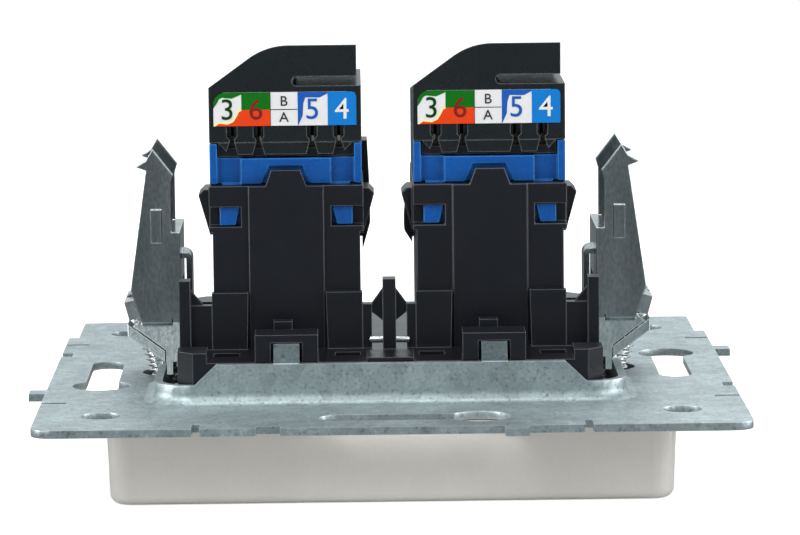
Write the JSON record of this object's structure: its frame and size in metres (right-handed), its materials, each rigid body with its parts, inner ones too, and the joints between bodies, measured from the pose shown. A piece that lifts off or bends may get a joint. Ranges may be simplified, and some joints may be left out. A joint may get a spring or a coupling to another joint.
{
  "type": "twin data wall socket mechanism",
  "caption": "Flush-mount twin data outlet seen from its wiring side: square cover, steel mounting frame with spreading claws, and eight-wire jack modules with colour-coded punch-down caps",
  "frame": {"origin": "centre of the cover's front face, which is the lowest face of the model", "axes": "+Z points from the front cover to the rear wiring side, +X to the right across the two modules, +Y away from the viewer"},
  "size_m": [0.0744, 0.0744, 0.0443],
  "materials": {
    "cover_plastic": "smooth light warm grey moulding",
    "zinc_steel": "galvanised sheet with a fine grain",
    "black_plastic": "black glass-filled moulding",
    "cap_plastic": "black satin moulding",
    "blue_plastic": "blue satin moulding",
    "label": "printed film with colour codes",
    "board": "green circuit board",
    "contact_metal": "bright plated contacts",
    "tinned_metal": "tin plated",
    "claw_steel": "dull zinc plated strip",
    "bright_steel": "bright zinc plated"
  },
  "bodies": {
    "socket": {"front_cover": "cover_plastic", "mounting_frame": "zinc_steel", "base_housing": "black_plastic", "rib_pin": "bright_steel", "jack_body_left": "blue_plastic", "jack_holder_left": "black_plastic", "wiring_cap_left": "cap_plastic", "cap_label_near_left": "label", "cap_label_far_left": "label", "circuit_board_left": "board", "port_contacts_left": "contact_metal", "wiring_blades_left": "tinned_metal", "wiring_block_left": "black_plastic", "jack_body_right": "blue_plastic", "jack_holder_right": "black_plastic", "wiring_cap_right": "cap_plastic", "cap_label_near_right": "label", "cap_label_far_right": "label", "circuit_board_right": "board", "port_contacts_right": "contact_metal", "wiring_blades_right": "tinned_metal", "wiring_block_right": "black_plastic"},
    "claw_left": {"claw_left": "claw_steel"},
    "screw_left": {"claw_screw_left": "bright_steel"},
    "nut_left": {"claw_nut_left": "bright_steel"},
    "claw_right": {"claw_right": "claw_steel"},
    "screw_right": {"claw_screw_right": "bright_steel"},
    "nut_right": {"claw_nut_right": "bright_steel"}
  },
  "joints": [
    {"name": "claw_swing_left", "type": "hinge", "parent": "socket", "child": "claw_left", "pos_m": [-0.0239, 0, 0.0086], "axis": [0, -1, 0], "range_deg": [0, 12]},
    {"name": "screw_turn_left", "type": "hinge", "parent": "socket", "child": "screw_left", "pos_m": [-0.0233, 0, 0.0079], "axis": [-0.2672, 0, 0.9636], "range_deg": [0, 828.5]},
    {"name": "nut_travel_left", "type": "slide", "parent": "socket", "child": "nut_left", "axis": [0.2672, 0, -0.9636], "range_m": [0, 0.00138]},
    {"name": "claw_swing_right", "type": "hinge", "parent": "socket", "child": "claw_right", "pos_m": [0.0239, 0, 0.0086], "axis": [0, 1, 0], "range_deg": [0, 12]},
    {"name": "screw_turn_right", "type": "hinge", "parent": "socket", "child": "screw_right", "pos_m": [0.0233, 0, 0.0079], "axis": [0.2672, 0, 0.9636], "range_deg": [0, 828.5]},
    {"name": "nut_travel_right", "type": "slide", "parent": "socket", "child": "nut_right", "axis": [-0.2672, 0, -0.9636], "range_m": [0, 0.00138]}
  ],
  "couplings": [
    {"joint": "screw_turn_left", "follows": "claw_swing_left", "ratio": 69},
    {"joint": "nut_travel_left", "follows": "claw_swing_left", "m_per_rad": 0.006589},
    {"joint": "screw_turn_right", "follows": "claw_swing_right", "ratio": 69},
    {"joint": "nut_travel_right", "follows": "claw_swing_right", "m_per_rad": 0.006589}
  ]
}
